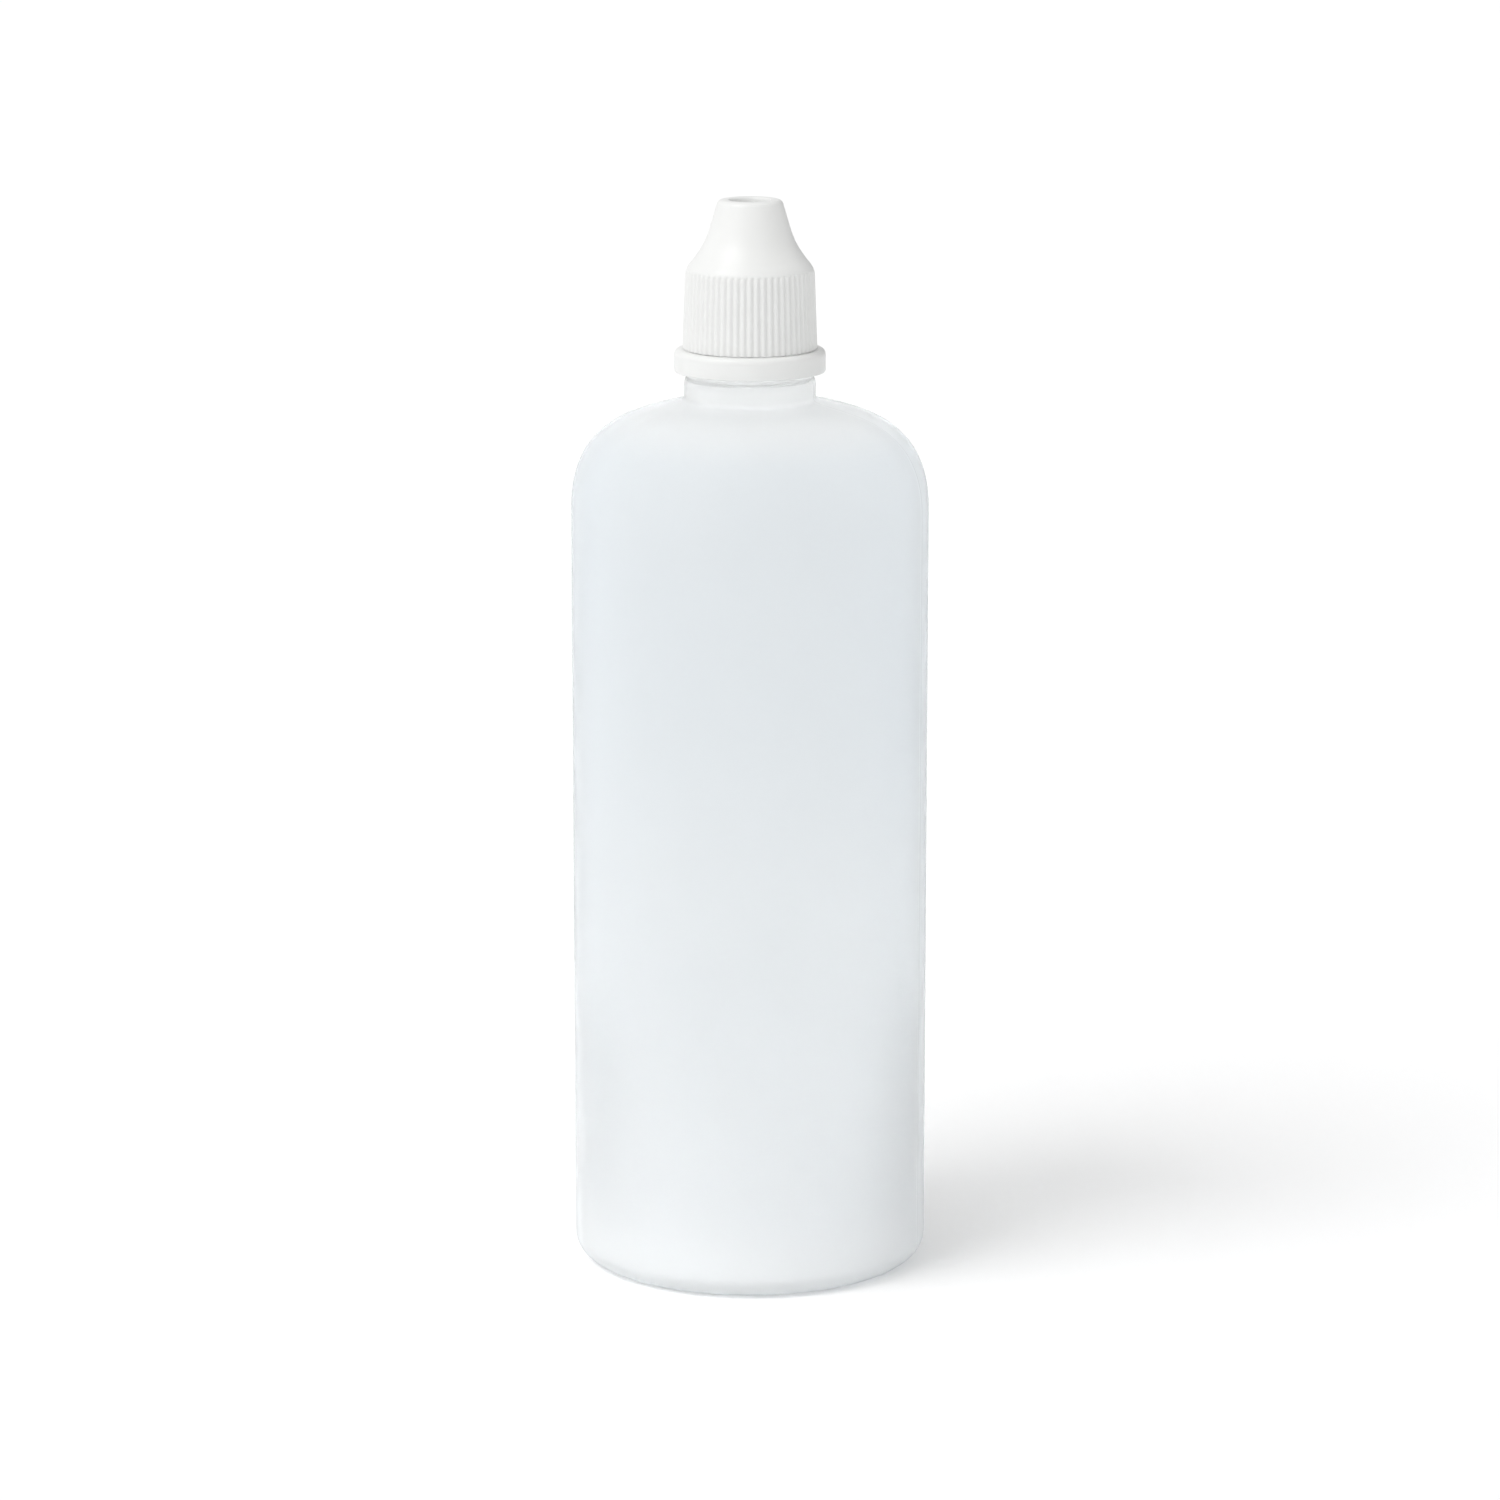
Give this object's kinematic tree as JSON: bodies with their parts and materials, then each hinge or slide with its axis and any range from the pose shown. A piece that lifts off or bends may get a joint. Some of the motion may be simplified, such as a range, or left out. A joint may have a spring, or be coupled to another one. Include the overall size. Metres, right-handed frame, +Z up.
{
  "type": "dropper bottle",
  "caption": "Round squeeze dropper bottle with a press-in dropper nozzle, a ribbed conical screw cap and a loose tamper-evident ring on the neck.",
  "frame": {"origin": "centre of the base, in the plane that the bottle stands on", "axes": "+Z up along the bottle's axis, out through the cap; the bottle is round, so X and Y are free"},
  "size_m": [0.056, 0.056, 0.1694],
  "materials": {
    "flask_plastic": "translucent natural low-density polyethylene, satin",
    "nozzle_plastic": "translucent natural low-density polyethylene, smooth",
    "cap_plastic": "opaque white polypropylene, semi-gloss"
  },
  "bodies": {
    "flask": {"bottle": "flask_plastic", "dropper_nozzle": "nozzle_plastic"},
    "ring": {"tamper_ring": "cap_plastic"},
    "cap": {"screw_cap": "cap_plastic"}
  },
  "joints": [
    {"name": "cap_turn", "type": "hinge", "parent": "flask", "child": "ring", "pos_m": [0, 0, 0.1443], "axis": [0, 0, 1], "range_deg": [0, 2250]},
    {"name": "cap_lift", "type": "slide", "parent": "ring", "child": "cap", "axis": [0, 0, 1], "range_m": [0, 0.02]}
  ],
  "couplings": [
    {"joint": "cap_lift", "follows": "cap_turn", "m_per_rad": 0.00050929}
  ]
}
